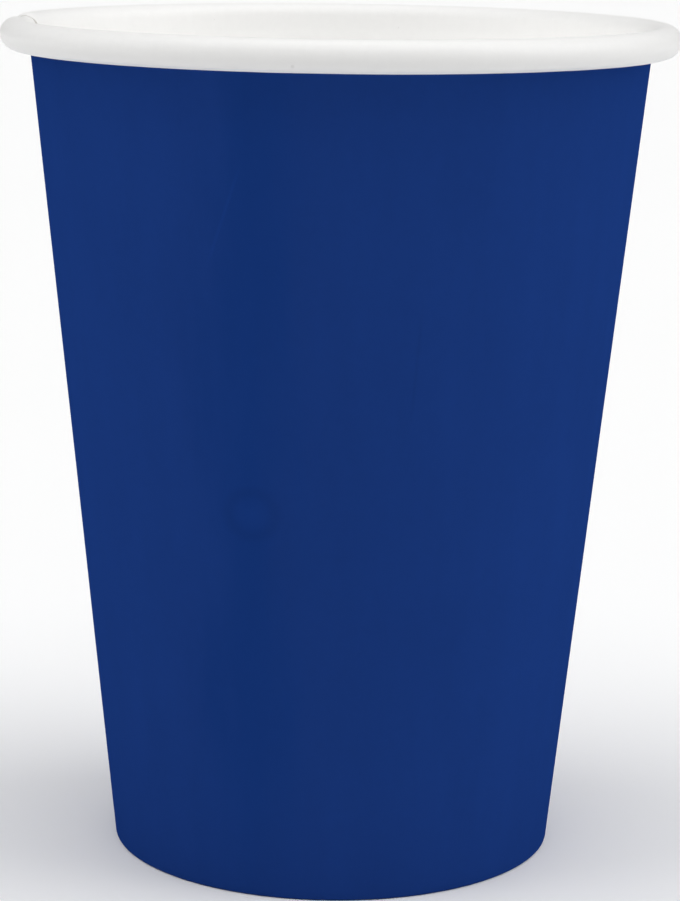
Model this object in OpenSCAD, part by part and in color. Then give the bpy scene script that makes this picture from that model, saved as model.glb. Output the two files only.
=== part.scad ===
// A paper drinking cup: a printed board blank wrapped into a cone, lapped and sealed down its back,
// rolled outwards at the rim, and folded up at the foot round the skirt of a separate base disc.
// The origin is the centre of the circle that the foot stands on, with +Z up and the side seam at +Y.

/* [Cup] */
// Outside diameter of the rolled rim
rim_d = 90; // [80:0.5:100]
// Outside diameter of the foot
base_d = 60; // [50:0.5:68]
// Height from the table to the top of the rim
cup_h = 112; // [85:1:150]

/* [Board] */
// Thickness of the sidewall's board
wall_t = 0.38; // [0.28:0.01:0.45]
// Thickness of the base disc's board
base_t = 0.32; // [0.25:0.01:0.45]
// Film of sealing coat on each side of the base disc's skirt
seal_gap = 0.03; // [0.02:0.01:0.06]

/* [Rolled rim] */
// Outside diameter of the roll's own section
curl_d = 4.1; // [3.5:0.1:5]
// How far the board turns round the roll, in degrees
curl_turn = 465; // [400:5:500]
// Slack between the roll's inner turn and the wall
curl_slack = 0.08; // [0.05:0.01:0.12]

/* [Side seam] */
// Width of the lap where the blank's two ends overlap
seam_w = 6.5; // [4:0.5:9]
// Angle round the cup from the middle of the lap to where its outer layer starts to lift
seam_run = 18; // [14:1:26]

/* [Foot] */
// Height of the drink's floor above the table
floor_h = 8; // [7.5:0.25:11]
// Height of the board that is folded up inside the foot
hem_h = 6; // [4:0.25:6.25]
// Inside radius of the two bends of that fold
fold_bend = 0.06; // [0.03:0.01:0.1]
// Radius at which the base disc turns down into its skirt, to the middle of its board
skirt_r = 0.7; // [0.5:0.05:0.9]

/* [Hidden] */

print_colour = "#16316D";
board_colour = "#F4F3F0";

// Steps in each turn of a rounded stretch of the section, and round the cup
turn_steps = 30;
$fn = 180;
// How far cutting shapes run past what they cut
past = 1;

// The foot's fold: fold_half is from the middle of the skirt to the middle of each of the fold's two
// upright layers, and the flat that the cup stands on lies between the fold's two bends
fold_half = (wall_t + base_t) / 2 + seal_gap;
fold_r = fold_bend + wall_t / 2;
foot_mid = [base_d / 2 - fold_half - wall_t / 2, wall_t / 2 + fold_r];
fold_out = foot_mid + [fold_half - fold_r, 0];
fold_in = foot_mid - [fold_half - fold_r, 0];

// The roll: its first turn is round curl_mid, as far as its lowest point. From there the board turns
// more tightly round tuck_mid, so that it passes inside the wall with the slack left between them.
curl_mid = [rim_d / 2 - curl_d / 2, cup_h - curl_d / 2];
curl_r = (curl_d - wall_t) / 2;

// The wall slopes up from the outside of the fold to the inside of the roll
across = curl_mid - fold_out;
slope = atan2(across[1], across[0]) + asin((fold_r + curl_r) / norm(across));
up_wall = [cos(slope), sin(slope)];
off_wall = [sin(slope), -cos(slope)];

tuck_at = -90;
tuck = (wall_t + curl_slack) / (1 - cos(slope + 90 - tuck_at));
tuck_r = curl_r - tuck;
tuck_mid = curl_mid - [0, tuck];

// The lap: its outer layer is part of a cone whose axis is set towards the seam by lap_shift, and whose
// radius is less by lap_inset. The two cones cross at seam_run, and at the edges of the lap they are one
// board's thickness apart.
lap_mid_r = (base_d + rim_d) / 4;
lap_edge = asin(seam_w / 2 / lap_mid_r);
lap_shift = wall_t * (2 * lap_mid_r + wall_t)
    / (2 * ((lap_mid_r + wall_t) * cos(lap_edge) - lap_mid_r * cos(seam_run)));
lap_inset = lap_mid_r - sqrt(lap_mid_r ^ 2 - 2 * lap_mid_r * lap_shift * cos(seam_run) + lap_shift ^ 2);

// How far past seam_run the lap's outer layer is carried inside the wall, in degrees
lap_sunk = 1.5;

// The lap runs from the top of the fold to where it still clears the roll's inner turn, and the groove
// that it leaves on the inside runs from the base disc to one board's thickness below that
lap_low = foot_mid[1];
lap_top = tuck_mid[1] - sqrt((tuck_r + wall_t / 2) ^ 2 - (curl_r - 1.5 * wall_t - curl_slack) ^ 2);
groove_low = floor_h - base_t;
groove_top = lap_top - wall_t;

// The middle of the bend where the base disc turns down into its skirt
disc_z = floor_h - base_t / 2;
skirt_up = (disc_z - skirt_r - foot_mid[1] + skirt_r * off_wall[1]) / up_wall[1];
bend_mid = foot_mid - skirt_r * off_wall + skirt_up * up_wall;

// Points of an arc round a middle, from one angle to another, without the first if skip is 1
function arc(middle, radius, from, to, skip = 0) =
    let (n = ceil(abs(to - from) * turn_steps / 360))
    [for (i = [skip:n]) let (a = from + (to - from) * i / n) middle + radius * [cos(a), sin(a)]];

function reversed(line) = [for (i = [len(line) - 1:-1:0]) line[i]];

// One face of the sidewall's board, from the top of the hem down round the fold, up the wall and round
// the roll. The printed face is at side 1, and the white face at side -1.
function wall_face(side) =
    let (beside = side * wall_t / 2)
    concat(
        [fold_in - (fold_r + beside) * off_wall + hem_h * up_wall],
        arc(fold_in, fold_r + beside, slope + 90, 270),
        arc(fold_out, fold_r + beside, 270, slope + 270),
        arc(curl_mid, curl_r - beside, slope + 90, tuck_at),
        arc(tuck_mid, tuck_r - beside, tuck_at, slope + 90 - curl_turn, 1));

// Radius of the straight wall at a height, on the same two faces or at side 0 in the board's middle
function wall_at(z, side) =
    let (foot = fold_out + (fold_r + side * wall_t / 2) * off_wall)
    foot[0] + (z - foot[1]) / tan(slope);

// One face of the base disc's board, from its centre out to the bend and down the skirt: its top and
// outside at side 1, and its underside and inside at side -1
function disc_face(side) =
    let (beside = side * base_t / 2)
    concat(
        [[0, disc_z + beside]],
        arc(bend_mid, skirt_r + beside, 90, slope - 90),
        [foot_mid + beside * off_wall + seal_gap * up_wall]);

// The straight cone inside one face of the wall, between two heights
module cone_inside(side, low, high, inset = 0) {
    translate([0, 0, low])
        cylinder(h = high - low, r1 = wall_at(low, side) - inset, r2 = wall_at(high, side) - inset);
}

// The part of a shape on the seam's side of the cup, as far as an edge of the lap at x
module up_to(x) {
    intersection() {
        children();
        translate([x - rim_d, 0, 0]) cube([rim_d, rim_d, cup_h]);
    }
}

// The lap's outer layer, from the middle of the board outwards. It is cut off at a plane through the
// cup's axis, just past where it sinks into the wall.
module lap_layer() {
    difference() {
        up_to(seam_w / 2)
            intersection() {
                translate([0, lap_shift, 0]) cone_inside(1, lap_low, lap_top, lap_inset);
                rotate([0, 0, seam_run + lap_sunk]) cube([rim_d, rim_d, cup_h]);
            }
        cone_inside(0, lap_low - past, lap_top + past);
    }
}

// The space that the lifted layer leaves on the inside, beside the inner layer's edge
module lap_groove() {
    up_to(-seam_w / 2)
        translate([0, lap_shift, 0]) cone_inside(-1, groove_low, groove_top, lap_inset);
}

module sidewall() {
    color(print_colour)
        difference() {
            union() {
                rotate_extrude() polygon(concat(wall_face(1), reversed(wall_face(-1))));
                lap_layer();
            }
            lap_groove();
        }
}

module base_disc() {
    color(board_colour)
        rotate_extrude() polygon(concat(disc_face(1), reversed(disc_face(-1))));
}

sidewall();
base_disc();
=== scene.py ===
"""A paper drinking cup: its printed sidewall and its base disc, on a plain stage."""
from math import asin, atan2, ceil, cos, pi, radians, sin

import bpy
from mathutils import Matrix, Vector


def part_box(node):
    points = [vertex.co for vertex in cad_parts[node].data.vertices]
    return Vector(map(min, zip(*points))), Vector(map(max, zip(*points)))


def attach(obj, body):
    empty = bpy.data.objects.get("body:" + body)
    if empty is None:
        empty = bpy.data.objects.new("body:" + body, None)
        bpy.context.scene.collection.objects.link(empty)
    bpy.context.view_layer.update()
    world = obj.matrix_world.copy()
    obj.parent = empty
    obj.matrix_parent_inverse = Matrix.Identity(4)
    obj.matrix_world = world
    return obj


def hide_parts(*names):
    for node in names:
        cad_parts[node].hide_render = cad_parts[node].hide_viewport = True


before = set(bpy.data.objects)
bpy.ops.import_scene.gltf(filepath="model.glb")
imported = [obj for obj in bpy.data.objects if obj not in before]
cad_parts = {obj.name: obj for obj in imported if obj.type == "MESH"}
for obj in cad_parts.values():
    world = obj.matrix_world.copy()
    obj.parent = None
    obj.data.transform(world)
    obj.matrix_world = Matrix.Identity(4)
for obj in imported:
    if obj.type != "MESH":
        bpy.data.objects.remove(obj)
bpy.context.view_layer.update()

bl_info = {
    "name": "Paper Cup",
    "version": (1, 0, 0),
    "blender": (4, 5, 0),
    "location": "3D View > Sidebar > Cup",
    "description": "Makes a paper cup with a rolled rim, a lapped seam, a folded foot and a base disc",
    "category": "Add Mesh",
}

MM = 0.001
WALL_LOW, WALL_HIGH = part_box("sidewall")
DISC_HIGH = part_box("base_disc")[1]
# The side of the cup that faces the camera, as an angle round it from -Y towards +X
FRONT = radians(-78)


# Sizes and colours that a user would change
class CupSizes(bpy.types.PropertyGroup):
    """Sizes of the cup's two board blanks once they are formed."""

    rim_d: bpy.props.FloatProperty(
        name="Rim diameter", description="Outside diameter of the rolled rim",
        default=WALL_HIGH.x - WALL_LOW.x, min=0.05, precision=5, unit="LENGTH")
    base_d: bpy.props.FloatProperty(
        name="Foot diameter", description="Outside diameter of the foot",
        default=60 * MM, min=0.03, precision=5, unit="LENGTH")
    cup_h: bpy.props.FloatProperty(
        name="Height", description="Height from the table to the top of the rim",
        default=WALL_HIGH.z, min=0.05, precision=5, unit="LENGTH")
    wall_t: bpy.props.FloatProperty(
        name="Sidewall board", description="Thickness of the sidewall's board",
        default=0.38 * MM, min=0.0001, precision=5, unit="LENGTH")
    base_t: bpy.props.FloatProperty(
        name="Base board", description="Thickness of the base disc's board",
        default=0.32 * MM, min=0.0001, precision=5, unit="LENGTH")
    seal_gap: bpy.props.FloatProperty(
        name="Sealing coat", description="Film of sealing coat on each side of the base disc's skirt",
        default=0.03 * MM, min=0.0, precision=5, unit="LENGTH")
    curl_d: bpy.props.FloatProperty(
        name="Roll", description="Outside diameter of the rolled rim's own section",
        default=4.1 * MM, min=0.002, precision=5, unit="LENGTH")
    curl_turn: bpy.props.FloatProperty(
        name="Turn of the roll", description="How far the board turns round the roll",
        default=radians(465), min=radians(360), unit="ROTATION")
    curl_slack: bpy.props.FloatProperty(
        name="Slack in the roll", description="Room between the roll's inner turn and the wall",
        default=0.08 * MM, min=0.0, precision=5, unit="LENGTH")
    seam_w: bpy.props.FloatProperty(
        name="Lap", description="Width of the lap where the sidewall's two ends overlap",
        default=6.5 * MM, min=0.001, precision=5, unit="LENGTH")
    seam_run: bpy.props.FloatProperty(
        name="Lift of the lap",
        description="Angle from the lap's middle to where its outer layer starts to lift",
        default=radians(18), min=radians(10), unit="ROTATION")
    floor_h: bpy.props.FloatProperty(
        name="Floor", description="Height of the drink's floor above the table",
        default=DISC_HIGH.z, min=0.005, precision=5, unit="LENGTH")
    floor_dish: bpy.props.FloatProperty(
        name="Dish of the floor", description="How far the middle of the floor hangs below its edge",
        default=0.15 * MM, min=0.0, precision=5, unit="LENGTH")
    hem_h: bpy.props.FloatProperty(
        name="Hem", description="Height of the board that is folded up inside the foot",
        default=6 * MM, min=0.002, precision=5, unit="LENGTH")
    fold_bend: bpy.props.FloatProperty(
        name="Bend of the fold", description="Inside radius of the fold's two bends",
        default=0.06 * MM, min=0.00001, precision=5, unit="LENGTH")
    skirt_r: bpy.props.FloatProperty(
        name="Bend of the skirt",
        description="Radius at which the base disc turns down, to its board's middle",
        default=0.7 * MM, min=0.0003, precision=5, unit="LENGTH")
    knurls: bpy.props.IntProperty(
        name="Knurls", description="Ridges pressed round the inside of the hem",
        default=96, min=0)
    knurl_h: bpy.props.FloatProperty(
        name="Knurl height", description="How far a ridge stands out of the hem",
        default=0.11 * MM, min=0.0, precision=5, unit="LENGTH")
    wave: bpy.props.FloatProperty(
        name="Wave of the wall", description="How far the wall's height is out of round",
        default=0.05 * MM, min=0.0, precision=5, unit="LENGTH")
    crimp: bpy.props.FloatProperty(
        name="Crimp of the roll", description="Depth of the fine unevenness round the roll",
        default=0.035 * MM, min=0.0, precision=5, unit="LENGTH")
    press: bpy.props.FloatProperty(
        name="Pressed ends",
        description="Share of the board's thickness by which its raw ends are pressed down",
        default=0.3, min=0.0, max=0.45)
    neck_h: bpy.props.FloatProperty(
        name="Unprinted neck", description="Bare margin of the wall below the roll",
        default=0.1 * MM, min=0.0, precision=5, unit="LENGTH")
    print_turn: bpy.props.FloatProperty(
        name="Print up the hem", description="How far the print is carried up the hem",
        default=2.5 * MM, min=0.0, precision=5, unit="LENGTH")
    marked_and_shaded_side: bpy.props.FloatProperty(
        name="Marked side",
        description="Angle round the cup of the side with the faint marks, from -Y towards +X",
        default=FRONT, unit="ROTATION")


class CupColours(bpy.types.PropertyGroup):
    """Colours of the cup's board and print, and of the floor."""

    print_colour: bpy.props.FloatVectorProperty(
        name="Print", description="Colour of the printed outside",
        default=(0.0105, 0.0400, 0.1980), subtype="COLOR", min=0.0, max=1.0)
    board_colour: bpy.props.FloatVectorProperty(
        name="Coated board", description="Colour of the coated inside and of the roll",
        default=(0.930, 0.926, 0.915), subtype="COLOR", min=0.0, max=1.0)
    base_colour: bpy.props.FloatVectorProperty(
        name="Bare board", description="Colour of the uncoated underside of the base disc",
        default=(0.820, 0.800, 0.760), subtype="COLOR", min=0.0, max=1.0)
    edge_colour: bpy.props.FloatVectorProperty(
        name="Cut edge", description="Colour of the board's raw cut edges",
        default=(0.860, 0.840, 0.800), subtype="COLOR", min=0.0, max=1.0)
    floor_colour: bpy.props.FloatVectorProperty(
        name="Floor", description="Colour of the pale floor",
        default=(0.970, 0.970, 0.970), subtype="COLOR", min=0.0, max=1.0)


class StageSettings(bpy.types.PropertyGroup):
    """The camera's place and the strength of the lights."""

    lens: bpy.props.FloatProperty(
        name="Lens", description="Focal length for a 36 mm sensor",
        default=116.55, min=10.0, unit="CAMERA")
    camera_far: bpy.props.FloatProperty(
        name="Camera distance", description="Distance of the camera from the cup's axis",
        default=0.3900, min=0.1, precision=5, unit="LENGTH")
    camera_high: bpy.props.FloatProperty(
        name="Camera height", description="Height of the camera above the table",
        default=0.1332, min=0.0, precision=5, unit="LENGTH")
    camera_round: bpy.props.FloatProperty(
        name="Camera round the cup",
        description="Angle of the camera round the cup's axis, from -Y towards +X",
        default=FRONT, unit="ROTATION")
    camera_pitch: bpy.props.FloatProperty(
        name="Camera pitch", description="Angle by which the camera looks down",
        default=0.20106, unit="ROTATION")
    camera_roll: bpy.props.FloatProperty(
        name="Camera roll", description="Angle by which the camera is turned about its own line of sight",
        default=-0.0136, unit="ROTATION")
    camera_yaw: bpy.props.FloatProperty(
        name="Camera yaw", description="Angle by which the camera looks to the left",
        default=-0.0015, unit="ROTATION")
    sky: bpy.props.FloatProperty(
        name="Room light", description="Strength of the soft white room",
        default=0.30, min=0.0)
    key: bpy.props.FloatProperty(
        name="Key light", description="Strength of the broad soft light overhead",
        default=1.40, min=0.0)
    right: bpy.props.FloatProperty(
        name="Right light", description="Strength of the broad soft light on the right",
        default=1.00, min=0.0)
    left: bpy.props.FloatProperty(
        name="Left light", description="Strength of the broad soft light on the left",
        default=0.70, min=0.0)
    inner: bpy.props.FloatProperty(
        name="Inner light", description="Power of the small light that lifts the inside of the cup",
        default=0.0160, min=0.0, precision=4, unit="POWER")


# How strong each finer layer of a noise is, against the one before
GRAIN_ROUGHNESS = 0.55


# Node trees
def find_socket(sockets, key):
    """The socket at an index, or else the one in use with that identifier or name."""
    if isinstance(key, int):
        return sockets[key]
    for socket in sockets:
        if socket.identifier == key:
            return socket
    for socket in sockets:
        if socket.name == key and socket.enabled:
            return socket
    raise KeyError("no socket " + key)


class Link:
    """A node's output socket. Arithmetic on it adds Math nodes to its tree."""

    def __init__(self, nodes, socket):
        self.nodes = nodes
        self.socket = socket

    def output(self, key):
        """Another output of the same node."""
        return Link(self.nodes, find_socket(self.socket.node.outputs, key))

    def maths(self, operation, *values):
        """A Math node on the given values or links."""
        return self.nodes.add("ShaderNodeMath", {"operation": operation}, dict(enumerate(values)))

    def __add__(self, other):
        return self.maths("ADD", self, other)

    __radd__ = __add__

    def __sub__(self, other):
        return self.maths("SUBTRACT", self, other)

    def __rsub__(self, other):
        return self.maths("SUBTRACT", other, self)

    def __mul__(self, other):
        return self.maths("MULTIPLY", self, other)

    __rmul__ = __mul__

    def __truediv__(self, other):
        return self.maths("DIVIDE", self, other)

    def __rtruediv__(self, other):
        return self.maths("DIVIDE", other, self)

    def __gt__(self, other):
        return self.maths("GREATER_THAN", self, other)

    def __lt__(self, other):
        return self.maths("LESS_THAN", self, other)

    def __abs__(self):
        return self.maths("ABSOLUTE", self)

    def floor(self):
        return self.maths("FLOOR", self)

    def sin(self):
        return self.maths("SINE", self)

    def cos(self):
        return self.maths("COSINE", self)

    def asin(self):
        return self.maths("ARCSINE", self)

    def sqrt(self):
        return self.maths("SQRT", self)

    def power(self, exponent):
        return self.maths("POWER", self, exponent)

    def ramp(self, start, end, low=0.0, high=1.0):
        """Goes smoothly from low to high as this value goes from start to end."""
        values = {"Value": self, "From Min": start, "From Max": end, "To Min": low, "To Max": high}
        return self.nodes.add("ShaderNodeMapRange", {"interpolation_type": "SMOOTHSTEP"}, values)

    def parts(self):
        """The three components of a vector."""
        split = self.nodes.add("ShaderNodeSeparateXYZ", {}, {"Vector": self})
        return split, split.output("Y"), split.output("Z")


class Nodes:
    """A node tree that is being filled in."""

    def __init__(self, tree):
        self.tree = tree

    def add(self, kind, settings=None, values=None, output=None):
        """Adds a node: its settings, then its sockets' values or links. Gives one of its outputs."""
        node = self.tree.nodes.new(kind)
        for name, value in (settings or {}).items():
            setattr(node, name, value)
        for key, value in (values or {}).items():
            socket = find_socket(node.inputs, key)
            for each in value if isinstance(value, list) else [value]:
                if isinstance(each, Link):
                    self.tree.links.new(each.socket, socket)
                else:
                    socket.default_value = each
        if output is not None:
            return Link(self, find_socket(node.outputs, output))
        in_use = [socket for socket in node.outputs if socket.enabled]
        return Link(self, in_use[0]) if in_use else None

    def vector(self, x, y, z):
        return self.add("ShaderNodeCombineXYZ", {}, {"X": x, "Y": y, "Z": z})

    def vector_maths(self, operation, *values):
        return self.add("ShaderNodeVectorMath", {"operation": operation}, dict(enumerate(values)))

    def mix(self, share, first, second):
        """A colour between two colours."""
        values = {"Factor_Float": share, "A_Color": first, "B_Color": second}
        return self.add("ShaderNodeMix", {"data_type": "RGBA"}, values, "Result_Color")

    def noise(self, place, size, detail=2.0, offset=0.0):
        """Noise from 0 to 1, its grains about that size in metres. The offset sets it off from others."""
        shifted = self.vector_maths("ADD", place, (offset, 0.0, 0.0)) if offset else place
        values = {"Vector": shifted, "Scale": 1 / size, "Detail": detail, "Roughness": GRAIN_ROUGHNESS}
        return self.add("ShaderNodeTexNoise", {}, values)


# The boards' sections, in the cup's radius and height
def along(angle):
    """The direction at an angle, in section."""
    return Vector((cos(angle), sin(angle)))


class BoardSection:
    """The middle line of a board in section, followed with the board's printed side on the right."""

    def __init__(self):
        self.points = []
        self.sides = []
        self.parts = []

    def add(self, part, point, side):
        self.points.append(Vector(point))
        self.sides.append(Vector(side))
        self.parts.append(part)

    def straight(self, part, start, end, side, places):
        """Points between two ends, at shares of the way from the first to the second."""
        for place in places:
            self.add(part, start.lerp(end, place), side)

    def arc(self, part, middle, radius, start, end, step):
        """Points of an arc from one angle to another, in steps of at most that angle."""
        count = ceil(abs(end - start) / step)
        turn = 1 if end > start else -1
        for number in range(count + 1):
            angle = start + (end - start) * number / count
            self.add(part, middle + radius * along(angle), turn * along(angle))

    def lengths(self):
        """The distance of each point from the first, along the board."""
        total = 0.0
        found = [0.0]
        for before, after in zip(self.points, self.points[1:]):
            total += (after - before).length
            found.append(total)
        return found

    def mesh(self, name, shares):
        """The section as a mesh in the XZ plane, with its printed side and shares as attributes."""
        mesh = bpy.data.meshes.new(name)
        places = [(point.x, 0.0, point.y) for point in self.points]
        mesh.from_pydata(places, [(i, i + 1) for i in range(len(places) - 1)], [])
        to_print = mesh.attributes.new("to_print", "FLOAT_VECTOR", "POINT")
        to_print.data.foreach_set("vector", [n for side in self.sides for n in (side.x, 0.0, side.y)])
        for label, values in shares.items():
            mesh.attributes.new(label, "FLOAT", "POINT").data.foreach_set("value", values)
        return mesh


def clamped(value):
    """A value kept between 0 and 1."""
    return min(max(value, 0.0), 1.0)


def share_between(value, start, end):
    """0 before the start and 1 after the end, with a smooth rise between them."""
    place = clamped((value - start) / (end - start))
    return place * place * (3 - 2 * place)


class CupLines:
    """The lines that the two boards' sections share, worked out from the sizes as the solids' are."""

    def __init__(self, size):
        self.fold_half = (size.wall_t + size.base_t) / 2 + size.seal_gap
        self.fold_r = size.fold_bend + size.wall_t / 2
        foot_r = size.base_d / 2 - self.fold_half - size.wall_t / 2
        self.foot_mid = Vector((foot_r, size.wall_t / 2 + self.fold_r))
        flat = Vector((self.fold_half - self.fold_r, 0.0))
        self.fold_out = self.foot_mid + flat
        self.fold_in = self.foot_mid - flat
        self.curl_mid = Vector(((size.rim_d - size.curl_d) / 2, size.cup_h - size.curl_d / 2))
        self.curl_r = (size.curl_d - size.wall_t) / 2
        across = self.curl_mid - self.fold_out
        self.slope = atan2(across.y, across.x) + asin((self.fold_r + self.curl_r) / across.length)
        self.up_wall = along(self.slope)
        self.off_wall = along(self.slope - pi / 2)
        tuck = (size.wall_t + size.curl_slack) / (1 - cos(self.slope + pi))
        self.tuck_r = self.curl_r - tuck
        self.tuck_mid = self.curl_mid - Vector((0.0, tuck))
        self.disc_z = size.floor_h - size.base_t / 2
        level = self.disc_z - size.skirt_r - self.foot_mid.y + size.skirt_r * self.off_wall.y
        skirt_up = level / self.up_wall.y * self.up_wall
        self.bend_mid = self.foot_mid - size.skirt_r * self.off_wall + skirt_up


ROLL_STEP = radians(12)
TUCK_STEP = radians(18)
FOLD_STEP = radians(22)
BEND_STEP = radians(12)
# Shares of the way down the hem and up the wall at which the section has a point
HEM_ROWS = (0.0, 0.06, 0.14, 0.26, 0.42, 0.58, 0.72, 0.84, 0.92)
WALL_ROWS = (0.006, 0.013, 0.021, 0.032, 0.045, 0.06, 0.085, 0.13, 0.19, 0.26, 0.33, 0.40, 0.47, 0.54,
             0.61, 0.68, 0.75, 0.82, 0.88, 0.93, 0.97, 0.99)
DISC_ROWS = (0.0, 0.04, 0.12, 0.24, 0.36, 0.48, 0.60, 0.72, 0.82, 0.90, 0.95, 0.98)
SKIRT_ROWS = (0.12, 0.3, 0.5, 0.7, 0.86, 1.0)
# Heights between which the lap's outer layer lifts off, and then its inner layer's corner is cut back
LIFT_FROM, LIFT_TO, CORNER_TO = 0.5 * MM, 2.8 * MM, 6.2 * MM
# Heights between which the hem is knurled, and how soft the ends of the knurls are
KNURL_FROM, KNURL_TO, KNURL_SOFT = 1.2 * MM, 5.6 * MM, 0.9 * MM
# How far from the board's raw ends the press reaches, and how much harder it presses round the roll
PRESS_RUN = 1.5 * MM
ROLL_PRESS = 1.8
# The film of seal between the lap's two layers
LAP_SEAL = 0.012 * MM
# The turn over which the roll's inner end draws in, and how much wider than the lap's lift that is
TUCK_SOFT = radians(50)
DRAW_RUN = 1.4
# Steps round the cup, how near two points are merged, and the bend past which an edge is sharp
WALL_STEPS = 480
DISC_STEPS = 240
MERGE_AT = 1e-6
SHARP_BEND = radians(50)
# Radius at which the unevenness is read round the cup, and the sizes of its grains
NOISE_ROUND = 0.04
WAVE_GRAIN = 0.045
CRIMP_GRAIN = 0.0035


def knurl_share(height):
    """How much of a knurl there is at a height: all of it between its two soft ends."""
    low_end = share_between(height, KNURL_FROM, KNURL_FROM + KNURL_SOFT)
    return low_end * share_between(height, KNURL_TO, KNURL_TO - KNURL_SOFT)


def sidewall_section(size):
    """The sidewall from the hem's top down round the fold, up the wall and round the roll."""
    lines = CupLines(size)
    section = BoardSection()
    quarter = lines.slope + pi / 2
    hem_low = lines.fold_in - lines.fold_r * lines.off_wall
    hem_top = hem_low + size.hem_h * lines.up_wall
    wall_low = lines.fold_out + lines.fold_r * lines.off_wall
    wall_top = lines.curl_mid - lines.curl_r * lines.off_wall
    tuck_end = quarter - size.curl_turn
    section.straight("hem", hem_top, hem_low, -lines.off_wall, HEM_ROWS)
    section.arc("fold", lines.fold_in, lines.fold_r, quarter, 1.5 * pi, FOLD_STEP)
    section.arc("fold", lines.fold_out, lines.fold_r, 1.5 * pi, lines.slope + 1.5 * pi, FOLD_STEP)
    section.straight("wall", wall_low, wall_top, lines.off_wall, WALL_ROWS)
    section.arc("roll", lines.curl_mid, lines.curl_r, quarter, -pi / 2, ROLL_STEP)
    first_tuck = len(section.points)
    section.arc("tuck", lines.tuck_mid, lines.tuck_r, -pi / 2, tuck_end, TUCK_STEP)
    del section.points[first_tuck], section.sides[first_tuck], section.parts[first_tuck]
    heights = [point.y for point in section.points]
    places = section.lengths()
    roll_from = places[section.parts.index("roll")]
    tuck_from = places[section.parts.index("tuck")]
    tuck_soft = TUCK_SOFT * lines.tuck_r
    shares = {
        "along": places,
        "lap_share": [clamped((z - LIFT_TO) / (CORNER_TO - LIFT_TO)) for z in heights],
        "lift_share": [share_between(z, LIFT_FROM, LIFT_TO) for z in heights],
        "tuck_share": [share_between(place, tuck_from, tuck_from + tuck_soft) for place in places],
        "crimp_share": [share_between(place, roll_from, roll_from + size.curl_d / 2) for place in places],
        "wave_share": [
            sin(pi * clamped(z / (size.cup_h - size.curl_d))) if part == "wall" else 0.0
            for z, part in zip(heights, section.parts)],
        "knurl_share": [
            knurl_share(z) if part == "hem" else 0.0
            for z, part in zip(heights, section.parts)],
    }
    return section.mesh("cup_sidewall", shares)


def base_disc_section(size):
    """The base disc from its middle to the bend and down the skirt, its underside on the right."""
    lines = CupLines(size)
    section = BoardSection()
    quarter = pi / 2
    middle = Vector((0.0, lines.disc_z))
    edge = lines.bend_mid + Vector((0.0, size.skirt_r))
    bend_end = lines.bend_mid + size.skirt_r * lines.off_wall
    skirt_end = lines.foot_mid + size.seal_gap * lines.up_wall
    for place in DISC_ROWS:
        dish = size.floor_dish * (1 - place ** 4) ** 2
        section.add("floor", middle.lerp(edge, place) - Vector((0.0, dish)), (0.0, -1.0))
    section.arc("bend", lines.bend_mid, size.skirt_r, quarter, lines.slope - quarter, BEND_STEP)
    section.straight("skirt", bend_end, skirt_end, -lines.off_wall, SKIRT_ROWS)
    still = [0.0] * len(section.points)
    labels = ("lap_share", "lift_share", "tuck_share", "crimp_share", "wave_share", "knurl_share")
    shares = {label: still for label in labels}
    shares["along"] = section.lengths()
    return section.mesh("cup_base_disc", shares)


# The sweep round the cup's axis
def tree_input(tree, name, kind, default=None):
    """Adds a named input to a Geometry Nodes tree."""
    socket = tree.interface.new_socket(name=name, in_out="INPUT", socket_type=kind)
    if default is not None:
        socket.default_value = default
    return socket


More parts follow.
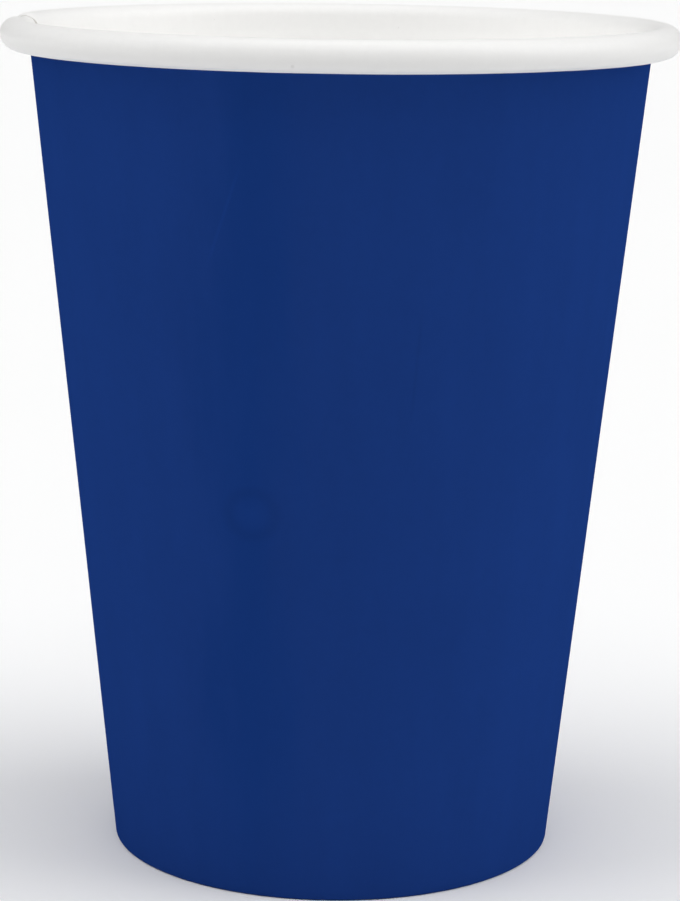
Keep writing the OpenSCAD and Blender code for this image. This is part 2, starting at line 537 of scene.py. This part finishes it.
def board_sweep_tree():
    """Geometry Nodes that sweep a board's section round the cup, lap its ends and thicken it."""
    tree = bpy.data.node_groups.new("Board swept round the cup", "GeometryNodeTree")
    tree.is_modifier = True
    tree_input(tree, "Section", "NodeSocketGeometry")
    tree_input(tree, "Steps round", "NodeSocketInt", WALL_STEPS)
    for name in ("Board", "Lap", "Seal", "Pressed ends", "Knurl height", "Wave", "Crimp"):
        tree_input(tree, name, "NodeSocketFloat", 0.0)
    tree_input(tree, "Lift of the lap", "NodeSocketFloat", radians(18))
    tree_input(tree, "Knurls", "NodeSocketInt", 0)
    for name in ("Printed side", "Coated side", "Cut edge"):
        tree_input(tree, name, "NodeSocketMaterial")
    tree.interface.new_socket(name="Piece", in_out="OUTPUT", socket_type="NodeSocketGeometry")

    nodes = Nodes(tree)
    given = nodes.add("NodeGroupInput")
    section = given.output("Section")
    steps = given.output("Steps round")
    board = given.output("Board")
    lap = given.output("Lap")
    seal = given.output("Seal")
    lift_run = given.output("Lift of the lap")

    def named(label, kind="FLOAT"):
        return nodes.add("GeometryNodeInputNamedAttribute", {"data_type": kind},
                         {"Name": label}, "Attribute")

    def stored(geometry, label, value, kind, domain):
        settings = {"data_type": kind, "domain": domain}
        return nodes.add("GeometryNodeStoreNamedAttribute", settings,
                         {"Geometry": geometry, "Name": label, "Value": value})

    # A grid with a column of points for each step round and a row for each point of the section
    rows = nodes.add("GeometryNodeAttributeDomainSize", {"component": "MESH"},
                     {"Geometry": section}, "Point Count")
    grid = nodes.add("GeometryNodeMeshGrid", {}, {"Vertices X": steps + 1, "Vertices Y": rows}, "Mesh")
    index = nodes.add("GeometryNodeInputIndex")
    step = ((index + 0.5) / rows).floor()
    row = index - step * rows

    def at_row(value, kind="FLOAT"):
        settings = {"data_type": kind, "domain": "POINT", "clamp": True}
        return nodes.add("GeometryNodeSampleIndex", settings,
                         {"Geometry": section, "Value": value, "Index": row + 0.5}, "Value")

    radius, _, height = at_row(nodes.add("GeometryNodeInputPosition"), "FLOAT_VECTOR").parts()
    side_r, _, side_z = at_row(named("to_print", "FLOAT_VECTOR"), "FLOAT_VECTOR").parts()
    lap_share = at_row(named("lap_share"))

    # The angle from the seam. Without its lap, a lapped board's ends stand a film of seal apart.
    lap_angle = (lap / 2 / radius).asin()
    start = lap_angle * (1 - 2 * lap_share) + (1 - lap_share) * seal / radius
    end = lap_angle + 2 * pi
    angle = start + (end - start) * step / steps
    from_seam = pi - abs(angle - pi)

    # The outer end lifts by one board, and the roll's inner turn draws in to leave room for that
    layer = board + seal
    lift = (angle - 2 * pi).ramp(-1 * lift_run, -1 * lap_angle) * at_row(named("lift_share"))
    drawn_in = from_seam.ramp(lap_angle, lift_run * DRAW_RUN, 1.0, 0.0) * at_row(named("tuck_share"))
    knurl = ((angle - start) * given.output("Knurls")).sin() * 0.5 + 0.5
    east = angle.sin() * NOISE_ROUND
    north = angle.cos() * NOISE_ROUND
    wave = nodes.noise(nodes.vector(east, north, height), WAVE_GRAIN, 1.0) * 2 - 1
    crimp = nodes.noise(nodes.vector(east, north, height * 0.2), CRIMP_GRAIN, 2.0, 0.3)
    outwards = (
        (lift + drawn_in) * layer
        + knurl * at_row(named("knurl_share")) * given.output("Knurl height")
        + wave * at_row(named("wave_share")) * given.output("Wave")
        + crimp * at_row(named("crimp_share")) * given.output("Crimp"))

    def face(away):
        """Where a point of the board lies, that distance to the printed side of its middle."""
        from_axis = radius + side_r * away
        return nodes.vector(from_axis * angle.sin(), from_axis * angle.cos(), height + side_z * away)

    # The raw ends are pressed down on the side that shows, and nearly flat round the roll
    pressed = given.output("Pressed ends") * board * at_row(named("lift_share"))
    pressed = pressed * (at_row(named("crimp_share")) * ROLL_PRESS + 1)
    start_press = ((angle - start) * radius).ramp(0.0, PRESS_RUN, 1.0, 0.0) * pressed
    end_press = ((end - angle) * radius).ramp(0.0, PRESS_RUN, 1.0, 0.0) * pressed

    grid = stored(grid, "printed_at", face(outwards + board / 2 - end_press), "FLOAT_VECTOR", "POINT")
    grid = stored(grid, "along", at_row(named("along")), "FLOAT", "POINT")
    grid = stored(grid, "around", angle, "FLOAT", "POINT")
    coated = nodes.add("GeometryNodeSetPosition", {}, {
        "Geometry": grid, "Position": face(outwards - board / 2 + start_press)})
    coated = nodes.add("GeometryNodeMergeByDistance", {}, {"Geometry": coated, "Distance": MERGE_AT})

    # The printed side is the coated one turned over and moved out, with the cut edges between them
    turned = nodes.add("GeometryNodeFlipFaces", {}, {"Mesh": coated})
    printed = nodes.add("GeometryNodeExtrudeMesh", {"mode": "FACES"},
                        {"Mesh": turned, "Offset Scale": 0.0, "Individual": False})
    top = printed.output("Top")
    cut = printed.output("Side")
    printed = stored(printed, "is_printed", top, "BOOLEAN", "FACE")
    printed = stored(printed, "is_cut", cut, "BOOLEAN", "FACE")
    outside = named("printed_at", "FLOAT_VECTOR")
    printed = nodes.add("GeometryNodeSetPosition", {},
                        {"Geometry": printed, "Selection": top, "Position": outside})
    piece = nodes.add("GeometryNodeJoinGeometry", {}, {"Geometry": [coated, printed]})
    piece = nodes.add("GeometryNodeMergeByDistance", {}, {"Geometry": piece, "Distance": MERGE_AT})
    piece = nodes.add("GeometryNodeSetShadeSmooth", {"domain": "FACE"},
                      {"Geometry": piece, "Shade Smooth": True})
    bend = nodes.add("GeometryNodeInputMeshEdgeAngle", {}, {}, "Unsigned Angle")
    piece = stored(piece, "sharp_edge", bend > SHARP_BEND, "BOOLEAN", "EDGE")
    piece = nodes.add("GeometryNodeRemoveAttribute", {}, {"Geometry": piece, "Name": "printed_at"})
    piece = nodes.add("GeometryNodeRealizeInstances", {}, {"Geometry": piece})
    piece = nodes.add("GeometryNodeSetMaterial", {}, {
        "Geometry": piece, "Material": given.output("Coated side")})
    for label, side in (("is_printed", "Printed side"), ("is_cut", "Cut edge")):
        piece = nodes.add("GeometryNodeSetMaterial", {}, {
            "Geometry": piece, "Selection": named(label, "BOOLEAN"), "Material": given.output(side)})
    nodes.add("NodeGroupOutput", {}, {"Piece": piece})
    return tree


def swept_piece(name, section, values):
    """A piece made from a section by the sweep, as a plain mesh at the origin."""
    piece = bpy.data.objects.new(name, section)
    bpy.context.scene.collection.objects.link(piece)
    tree = bpy.data.node_groups.get("Board swept round the cup") or board_sweep_tree()
    sweep = piece.modifiers.new("Sweep", "NODES")
    sweep.node_group = tree
    sockets = {item.name: item.identifier for item in tree.interface.items_tree if item.in_out == "INPUT"}
    for label, value in values.items():
        sweep[sockets[label]] = value
    depsgraph = bpy.context.evaluated_depsgraph_get()
    swept = bpy.data.meshes.new_from_object(
        piece.evaluated_get(depsgraph), preserve_all_data_layers=True, depsgraph=depsgraph)
    piece.modifiers.remove(sweep)
    piece.data = swept
    swept.name = name
    bpy.data.meshes.remove(section)
    if not swept.polygons:
        raise RuntimeError(name + " came out empty")
    if swept.materials[0] is None:
        swept.materials.pop(index=0)
    return piece


# Faint marks on the cup's marked side, and a band of painted shade there: how far to the right and up
# each is, its size and its lean
RING_AT = (-10.4 * MM, 52.3 * MM)
RING_R = 2.9 * MM
RING_SOFT = 1.3 * MM
CORE_SOFT = 2.6 * MM
SCUFF_AT = (9.8 * MM, 71.3 * MM)
SCUFF_HIGH = 8 * MM
SCUFF_LEAN = 0.08
SCRATCH_AT = (-14.1 * MM, 90 * MM)
SCRATCH_HIGH = 7 * MM
SCRATCH_LEAN = 0.32
RUB_WIDE = 0.35 * MM
# Painted shade: a soft upright band where the print is darker and bluer, as where less light falls; its
# place, half width, half height, wander and tint
SHADE_BAND_AT = (-10.5 * MM, 60 * MM)
SHADE_BAND_WIDE = 8 * MM
SHADE_BAND_HIGH = 75 * MM
SHADE_BAND_WANDER = 14 * MM
SHADE_BAND_TINT = (0.55, 0.85, 0.92)
# The small speck on the roll: how far to the right and below the rim's top it is, and its soft edge
SPECK_RIGHT = -5.7 * MM
SPECK_DOWN = 3.2 * MM
SPECK_FROM = 0.10 * MM
SPECK_TO = 0.30 * MM
# Stretches a pattern up the cup into upright streaks
UPRIGHT = (1.0, 1.0, 0.12)


# Materials
def shade(colour, share):
    """A colour made lighter or darker by a share, with its alpha."""
    return (*(min(part * share, 1.0) for part in colour), 1.0)


def new_material(name):
    """An empty material, its nodes and the place that they read."""
    material = bpy.data.materials.new(name)
    material.use_nodes = True
    material.node_tree.nodes.clear()
    nodes = Nodes(material.node_tree)
    return material, nodes, nodes.add("ShaderNodeTexCoord", {}, {}, "Object")


def finish_material(nodes, values):
    """The material's shader and its output."""
    shader = nodes.add("ShaderNodeBsdfPrincipled", {}, values)
    nodes.add("ShaderNodeOutputMaterial", {}, {"Surface": shader})


def raised(nodes, height, distance, before=None):
    """The surface's normal over a height from 0 to 1 that stands for that distance."""
    values = {"Height": height, "Distance": distance}
    if before is not None:
        values["Normal"] = before
    return nodes.add("ShaderNodeBump", {}, values)


def attribute(nodes, label):
    """A number that the piece keeps at its points."""
    return nodes.add("ShaderNodeAttribute", {"attribute_name": label}, {}, "Fac")


def fibres(nodes, place):
    """The board's fibres seen through a thin coat: cloudy, with a fine tooth."""
    return nodes.noise(place, 0.9 * MM, 3.0) * 0.65 + nodes.noise(place, 0.22 * MM, 1.0, 0.05) * 0.35


def on_side(place, angle):
    """How far a place is to the right, outwards and up, on the side of the cup at that angle."""
    x, y, z = place.parts()
    return x * cos(angle) + y * sin(angle), x * sin(angle) - y * cos(angle), z


def pressed_ring(side, middle, radius, width):
    """1 on a faint ring on one side of the cup, and 0 off it."""
    right, out, up = side
    from_middle = ((right - middle[0]).power(2) + (up - middle[1]).power(2)).sqrt()
    return abs(from_middle - radius).ramp(0.0, width, 1.0, 0.0) * (out > 0)


def rub(side, middle, half_width, half_height, lean=0.0):
    """1 on a faint upright rub mark on one side of the cup, and 0 off it."""
    right, out, up = side
    across = abs(right - middle[0] - (up - middle[1]) * lean).ramp(0.0, half_width, 1.0, 0.0)
    ends = abs(up - middle[1]).ramp(half_height * 0.5, half_height, 1.0, 0.0)
    return across * ends * (out > 0)


def printed_board(size, colours):
    """Satin print on the sidewall's outside, with its bare margins under the roll and up the hem."""
    material, nodes, place = new_material("satin_print")
    run = attribute(nodes, "along")
    _, _, height = place.parts()
    wander = nodes.noise(place, 9 * MM, 1.0, 0.11) * 0.12 * MM
    print_top = size.cup_h - size.curl_d - size.neck_h
    bare_top = (height + wander).ramp(print_top, print_top + 0.06 * MM)
    hem_end = size.hem_h - size.print_turn
    bare_hem = (run + wander).ramp(hem_end - 0.06 * MM, hem_end, 1.0, 0.0)
    bare = bare_top.maths("MAXIMUM", bare_top, bare_hem)
    cloud = nodes.noise(place, 26 * MM, 2.0, 0.37)
    mottle = nodes.noise(place, 1.6 * MM, 3.0, 0.71)
    tooth = fibres(nodes, place)
    upright = nodes.vector_maths("MULTIPLY", place, UPRIGHT)
    streaks = nodes.noise(upright, 4.5 * MM, 3.0, 0.47)
    tone = cloud * 0.30 + streaks * 0.35 + mottle * 0.20 + tooth * 0.15
    side = on_side(place, size.marked_and_shaded_side)
    ring = pressed_ring(side, RING_AT, RING_R, RING_SOFT)
    core = pressed_ring(side, RING_AT, 0.0, CORE_SOFT)
    scuff = rub(side, SCUFF_AT, RUB_WIDE, SCUFF_HIGH, SCUFF_LEAN)
    scratch = rub(side, SCRATCH_AT, RUB_WIDE, SCRATCH_HIGH, SCRATCH_LEAN)
    # Painted shade: the print is made darker and bluer in a soft wandering band on the marked side
    shade_band_right, shade_band_up = SHADE_BAND_AT
    wandering = shade_band_right + (streaks - 0.5) * SHADE_BAND_WANDER
    shade_band = rub(side, (wandering, shade_band_up), SHADE_BAND_WIDE, SHADE_BAND_HIGH)
    ink = nodes.mix(tone, shade(colours.print_colour, 0.82), shade(colours.print_colour, 1.20))
    shaded_ink = (*(part * share for part, share in zip(colours.print_colour, SHADE_BAND_TINT)), 1.0)
    ink = nodes.mix(shade_band * 0.5, ink, shaded_ink)
    ink = nodes.mix(ring * 0.14 + scuff * 0.12, ink, shade(colours.print_colour, 0.45))
    ink = nodes.mix(scratch * 0.08 + core * 0.05, ink, shade(colours.print_colour, 2.2))
    board = nodes.mix(tooth, shade(colours.board_colour, 0.96), shade(colours.board_colour, 1.03))
    rough = tone * 0.16 + 0.46 + (scuff + scratch) * 0.06 - bare * 0.04
    flow = raised(nodes, cloud, 0.05 * MM)
    flow = raised(nodes, mottle, 0.012 * MM, flow)
    flow = raised(nodes, tooth - ring * 0.8, 0.006 * MM, flow)
    finish_material(nodes, {
        "Base Color": nodes.mix(bare, ink, board), "Roughness": rough, "Normal": flow,
        "Specular IOR Level": 0.0})
    return material


def coated_board(size, colours):
    """White board under a thin clear coat, on the cup's inside, the roll and the floor."""
    material, nodes, place = new_material("coated_white")
    tooth = fibres(nodes, place)
    cloud = nodes.noise(place, 14 * MM, 2.0, 0.53)
    specks = nodes.noise(place, 0.5 * MM, 1.0, 0.91).ramp(0.80, 0.84)
    upright = nodes.vector_maths("MULTIPLY", place, UPRIGHT)
    creases = nodes.noise(upright, 1.1 * MM, 2.0, 0.21)
    tone = tooth * 0.6 + cloud * 0.4
    x, y, height = place.parts()
    on_roll = height.ramp(size.cup_h - size.curl_d, size.cup_h - 0.8 * size.curl_d)
    from_axis = (x.power(2) + y.power(2)).sqrt()
    roll_mid = (size.rim_d - size.curl_d) / 2
    outer = from_axis.ramp(roll_mid, roll_mid + 0.4 * size.curl_d)
    # Painted shade: the roll's outer underside is made darker all round, as where less light reaches it
    underside_shade_full = size.cup_h - 0.75 * size.curl_d
    underside_shade_none = size.cup_h - 0.35 * size.curl_d
    under = height.ramp(underside_shade_full, underside_shade_none, 1.0, 0.0) * outer
    right, out, up = on_side(place, size.marked_and_shaded_side)
    spot_up = size.cup_h - SPECK_DOWN
    from_spot = ((right - SPECK_RIGHT).power(2) + (up - spot_up).power(2)).sqrt()
    spot = from_spot.ramp(SPECK_FROM, SPECK_TO, 1.0, 0.0) * (out > 0)
    white = nodes.mix(tone, shade(colours.board_colour, 0.955), shade(colours.board_colour, 1.03))
    # Painted shade on the roll's outer underside
    white = nodes.mix(under * 0.7, white, shade(colours.board_colour, 0.84))
    white = nodes.mix(specks * 0.22 + spot * 0.30, white, shade(colours.edge_colour, 0.6))
    # Painted shade: the roll is made a little darker along its creases
    white = nodes.mix(on_roll * creases * 0.10, white, shade(colours.board_colour, 0.80))
    flow = raised(nodes, cloud, 0.05 * MM)
    flow = raised(nodes, creases * on_roll, 0.02 * MM, flow)
    flow = raised(nodes, tooth, 0.008 * MM, flow)
    finish_material(nodes, {
        "Base Color": white, "Roughness": tone * 0.14 + 0.30, "Normal": flow, "Specular IOR Level": 0.30})
    return material


def bare_board(colours):
    """Uncoated board on the base disc's underside, with its fibres open."""
    material, nodes, place = new_material("open_board")
    tooth = nodes.noise(place, 0.6 * MM, 4.0)
    cloud = nodes.noise(place, 5 * MM, 3.0, 0.33)
    flecks = nodes.noise(place, 0.8 * MM, 2.0, 0.77).ramp(0.70, 0.76)
    tone = tooth * 0.5 + cloud * 0.5
    brown = nodes.mix(tone, shade(colours.base_colour, 0.90), shade(colours.base_colour, 1.06))
    brown = nodes.mix(flecks * 0.25, brown, shade(colours.base_colour, 0.62))
    flow = raised(nodes, tooth, 0.02 * MM)
    finish_material(nodes, {
        "Base Color": brown, "Roughness": tone * 0.12 + 0.78, "Normal": flow, "Specular IOR Level": 0.2})
    return material


def cut_edge(colours):
    """The board's raw cut edge, in layers of fibre."""
    material, nodes, place = new_material("raw_edge")
    layers = nodes.noise(nodes.vector_maths("MULTIPLY", place, (1.0, 1.0, 0.3)), 0.14 * MM, 3.0)
    grey = nodes.mix(layers, shade(colours.edge_colour, 0.80), shade(colours.edge_colour, 1.12))
    flow = raised(nodes, layers, 0.02 * MM)
    finish_material(nodes, {
        "Base Color": grey, "Roughness": layers * 0.1 + 0.82, "Normal": flow, "Specular IOR Level": 0.15})
    return material


def pale_floor(colours):
    """A pale matt floor."""
    material, nodes, place = new_material("matt_floor")
    cloud = nodes.noise(place, 0.4, 2.0)
    pale = nodes.mix(cloud, shade(colours.floor_colour, 0.985), shade(colours.floor_colour, 1.0))
    finish_material(nodes, {
        "Base Color": pale, "Roughness": cloud * 0.1 + 0.7, "Specular IOR Level": 0.2})
    return material


def shared_material(name, maker, *needs):
    """The material of that name, made once."""
    return bpy.data.materials.get(name) or maker(*needs)


# Operators
class CUP_OT_sidewall(bpy.types.Operator):
    """Make the printed sidewall with its rolled rim, lapped seam and folded foot"""

    bl_idname = "cup.sidewall"
    bl_label = "Sidewall"
    bl_options = {"REGISTER", "UNDO"}

    def execute(self, context):
        size = context.scene.cup_sizes
        colours = context.scene.cup_colours
        piece = swept_piece("cup_sidewall", sidewall_section(size), {
            "Steps round": WALL_STEPS,
            "Board": size.wall_t,
            "Lap": size.seam_w,
            "Seal": LAP_SEAL,
            "Pressed ends": size.press,
            "Lift of the lap": size.seam_run,
            "Knurls": size.knurls,
            "Knurl height": size.knurl_h,
            "Wave": size.wave,
            "Crimp": size.crimp,
            "Printed side": shared_material("satin_print", printed_board, size, colours),
            "Coated side": shared_material("coated_white", coated_board, size, colours),
            "Cut edge": shared_material("raw_edge", cut_edge, colours),
        })
        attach(piece, "root")
        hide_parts("sidewall")
        return {"FINISHED"}


class CUP_OT_base_disc(bpy.types.Operator):
    """Make the base disc with the skirt that the foot is folded round"""

    bl_idname = "cup.base_disc"
    bl_label = "Base disc"
    bl_options = {"REGISTER", "UNDO"}

    def execute(self, context):
        size = context.scene.cup_sizes
        colours = context.scene.cup_colours
        piece = swept_piece("cup_base_disc", base_disc_section(size), {
            "Steps round": DISC_STEPS,
            "Board": size.base_t,
            "Printed side": shared_material("open_board", bare_board, colours),
            "Coated side": shared_material("coated_white", coated_board, size, colours),
            "Cut edge": shared_material("raw_edge", cut_edge, colours),
        })
        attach(piece, "root")
        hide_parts("base_disc")
        return {"FINISHED"}


# The floor's radius, its rings and the steps round it
FLOOR_R = 6.0
FLOOR_RINGS = 3
FLOOR_STEPS = 96
# Where each light is, seen from the camera's side of the cup, and how wide it is
KEY_AT = Vector((0.0, -0.10, 1.0))
RIGHT_AT = Vector((1.0, -0.10, 0.70))
LEFT_AT = Vector((-1.0, -0.10, 0.70))
INNER_AT = Vector((0.012, 0.006, 0.085))
KEY_SPREAD = radians(70)
SIDE_SPREAD = radians(50)
INNER_R = 0.015
# The camera's sensor, in millimetres, and how near and far it sees, in metres
SENSOR_WIDE = 36.0
SEES_FROM = 0.01
SEES_TO = 50.0


def stage_floor(colours):
    """A wide round floor, level with the foot."""
    mesh = bpy.data.meshes.new("stage_floor")
    places = [(0.0, 0.0, 0.0)]
    for ring in range(1, FLOOR_RINGS + 1):
        reach = FLOOR_R * (ring / FLOOR_RINGS) ** 2
        for number in range(FLOOR_STEPS):
            angle = 2 * pi * number / FLOOR_STEPS
            places.append((reach * cos(angle), reach * sin(angle), 0.0))
    pairs = [(number, (number + 1) % FLOOR_STEPS) for number in range(FLOOR_STEPS)]
    faces = [(0, 1 + i, 1 + after) for i, after in pairs]
    for ring in range(FLOOR_RINGS - 1):
        inner = 1 + ring * FLOOR_STEPS
        outer = inner + FLOOR_STEPS
        faces += [(inner + i, outer + i, outer + after, inner + after) for i, after in pairs]
    mesh.from_pydata(places, [], faces)
    mesh.materials.append(pale_floor(colours))
    floor = bpy.data.objects.new("stage_floor", mesh)
    bpy.context.scene.collection.objects.link(floor)
    return floor


def new_light(name, kind, place, energy):
    """A light of a kind, at a place."""
    data = bpy.data.lights.new(name, kind)
    data.energy = energy
    light = bpy.data.objects.new(name, data)
    bpy.context.scene.collection.objects.link(light)
    light.location = place
    return light


def broad_light(name, place, strength, spread):
    """A very wide soft light that shines from a place towards the cup, from far off."""
    light = new_light(name, "SUN", place, strength)
    light.data.angle = spread
    light.rotation_euler = place.to_track_quat("Z", "Y").to_euler()


def inner_light(name, place, power):
    """A small light inside the cup, which the camera doesn't see."""
    light = new_light(name, "POINT", place, power)
    light.data.shadow_soft_size = INNER_R
    light.visible_camera = False


def stage_camera(settings):
    """The camera at the photograph's viewing angle."""
    yaw, pitch, roll = settings.camera_yaw, settings.camera_pitch, settings.camera_roll
    right = Vector((cos(yaw), sin(yaw), 0.0))
    ahead = Vector((-sin(yaw) * cos(pitch), cos(yaw) * cos(pitch), -sin(pitch)))
    down = ahead.cross(right)
    across = cos(roll) * right + sin(roll) * down
    up = sin(roll) * right - cos(roll) * down
    turned = Matrix((across, up, -ahead)).transposed().to_4x4()
    data = bpy.data.cameras.new("camera")
    data.lens = settings.lens
    data.sensor_width = SENSOR_WIDE
    data.clip_start = SEES_FROM
    data.clip_end = SEES_TO
    data.dof.use_dof = False
    camera = bpy.data.objects.new("camera", data)
    bpy.context.scene.collection.objects.link(camera)
    place = Matrix.Translation((0.0, -settings.camera_far, settings.camera_high)) @ turned
    camera.matrix_world = Matrix.Rotation(settings.camera_round, 4, "Z") @ place
    bpy.context.scene.camera = camera


class CUP_OT_stage(bpy.types.Operator):
    """Make the floor, the soft lights and the camera"""

    bl_idname = "cup.stage"
    bl_label = "Stage"
    bl_options = {"REGISTER", "UNDO"}

    def execute(self, context):
        settings = context.scene.cup_stage
        stage_floor(context.scene.cup_colours)
        turn = Matrix.Rotation(settings.camera_round, 3, "Z")
        broad_light("key_light", turn @ KEY_AT, settings.key, KEY_SPREAD)
        broad_light("right_light", turn @ RIGHT_AT, settings.right, SIDE_SPREAD)
        broad_light("left_light", turn @ LEFT_AT, settings.left, SIDE_SPREAD)
        inner_light("inner_light", turn @ INNER_AT, settings.inner)
        world = bpy.data.worlds.new("white_room")
        world.use_nodes = True
        world.node_tree.nodes.clear()
        nodes = Nodes(world.node_tree)
        room = nodes.add("ShaderNodeBackground", {}, {
            "Color": (1.0, 1.0, 1.0, 1.0), "Strength": settings.sky})
        nodes.add("ShaderNodeOutputWorld", {}, {"Surface": room})
        context.scene.world = world
        context.scene.view_settings.view_transform = "Standard"
        stage_camera(settings)
        return {"FINISHED"}


class CUP_PT_cup(bpy.types.Panel):
    """Lists the cup's pieces, sizes and colours"""

    bl_idname = "CUP_PT_cup"
    bl_label = "Paper Cup"
    bl_space_type = "VIEW_3D"
    bl_region_type = "UI"
    bl_category = "Cup"

    def draw(self, context):
        column = self.layout.column()
        for operator in OPERATORS:
            column.operator(operator.bl_idname)
        for group in (context.scene.cup_sizes, context.scene.cup_colours, context.scene.cup_stage):
            box = self.layout.box()
            for label in group.__annotations__:
                box.prop(group, label)


GROUPS = {"cup_sizes": CupSizes, "cup_colours": CupColours, "cup_stage": StageSettings}
OPERATORS = (CUP_OT_sidewall, CUP_OT_base_disc, CUP_OT_stage)
CLASSES = (*GROUPS.values(), *OPERATORS, CUP_PT_cup)


def register():
    for each in CLASSES:
        bpy.utils.register_class(each)
    for label, group in GROUPS.items():
        setattr(bpy.types.Scene, label, bpy.props.PointerProperty(type=group))


def unregister():
    for label in GROUPS:
        delattr(bpy.types.Scene, label)
    for each in reversed(CLASSES):
        bpy.utils.unregister_class(each)


def main():
    """Makes every piece and the stage."""
    register()
    bpy.ops.cup.sidewall()
    bpy.ops.cup.base_disc()
    bpy.ops.cup.stage()


if __name__ == "__main__":
    main()
